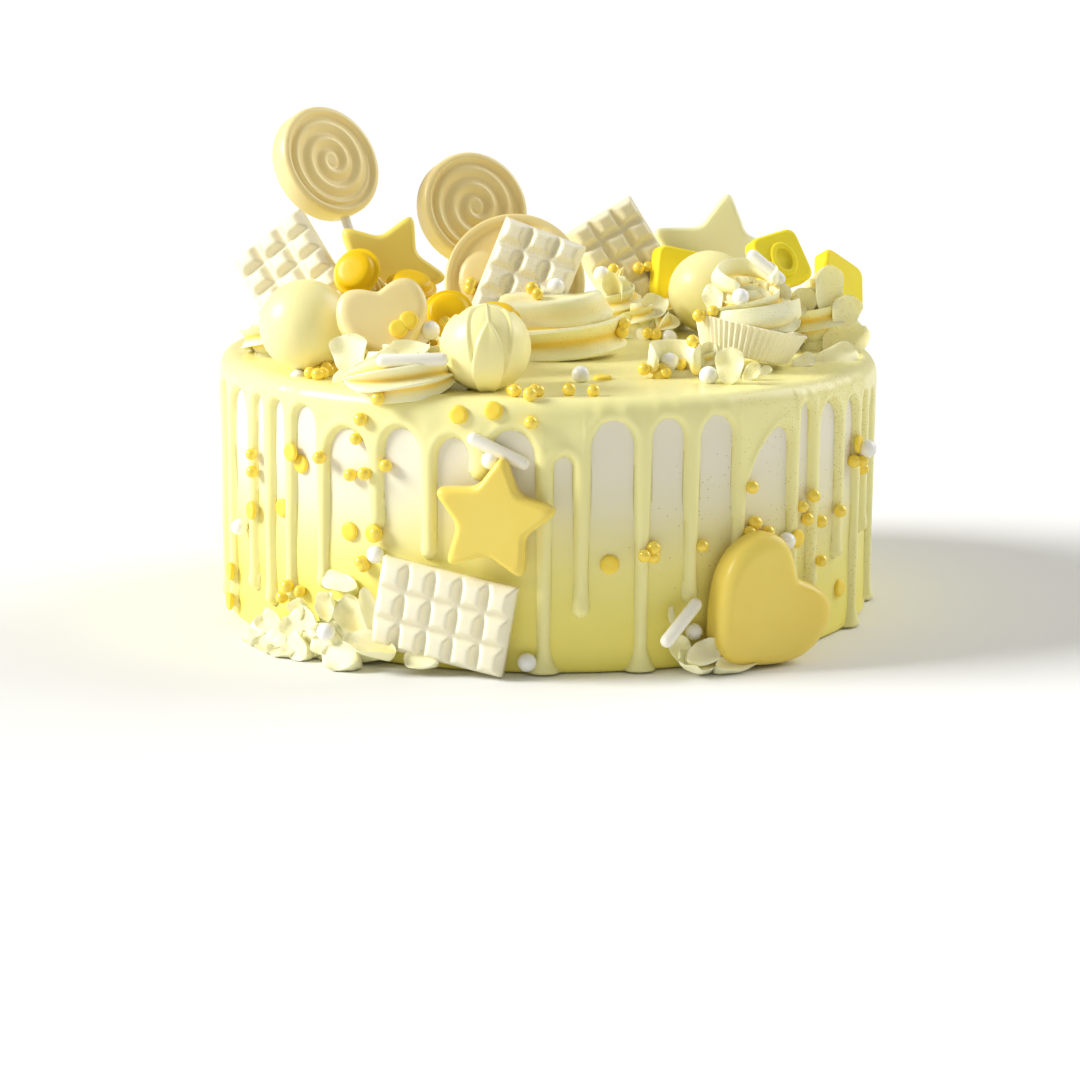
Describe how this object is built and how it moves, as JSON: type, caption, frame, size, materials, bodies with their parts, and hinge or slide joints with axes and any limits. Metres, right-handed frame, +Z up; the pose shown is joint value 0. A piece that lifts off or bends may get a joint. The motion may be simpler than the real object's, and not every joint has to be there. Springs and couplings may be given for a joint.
{
  "type": "drip cake",
  "caption": "Tall round cake in a pale coat with glaze dripping down its side, piled with moulded white and yellow sweets, lollipops, piped cream and pearl sprinkles.",
  "frame": {"origin": "middle of the cake's round base, on the surface that it stands on", "axes": "+Z up, the decorated front looks along -Y, +X to the right as seen from the front"},
  "size_m": [0.2263, 0.2354, 0.1663],
  "materials": {
    "coat": "smooth, soft sheen",
    "glaze": "set chocolate glaze, satin gloss",
    "cream": "soft, matte",
    "pale_yellow": "moulded chocolate, satin",
    "ivory": "moulded chocolate, satin",
    "white": "moulded white chocolate, satin",
    "bright_yellow": "glossy",
    "stick": "matte"
  },
  "bodies": {
    "root": {"cake": "coat", "glaze": "glaze", "side_star": "pale_yellow", "side_bar": "white", "side_heart": "pale_yellow", "ball_left": "pale_yellow", "ball_right": "pale_yellow", "petal_truffle": "pale_yellow", "lollipop_left": "ivory", "stick_left": "stick", "lollipop_right": "ivory", "stick_right": "stick", "medallion": "ivory", "bar_middle": "white", "bar_left": "white", "bar_back": "white", "star_back": "pale_yellow", "star_left": "pale_yellow", "heart_top": "white", "tile_ball": "bright_yellow", "tile_ringed": "bright_yellow", "tile_right": "bright_yellow", "melt_1": "bright_yellow", "melt_2": "bright_yellow", "melt_3": "bright_yellow", "melt_4": "bright_yellow", "fluted_cup": "white", "cream_cup": "cream", "cream_right": "cream", "cream_small": "cream", "cream_centre": "cream", "cream_front": "cream", "cream_mound": "cream", "cream_left": "cream", "cream_back": "cream", "cream_rear": "cream", "cream_petals": "cream", "cream_foot_left": "cream", "cream_foot_middle": "cream", "cream_foot_bar": "cream", "cream_foot_right": "cream"}
  },
  "joints": []
}
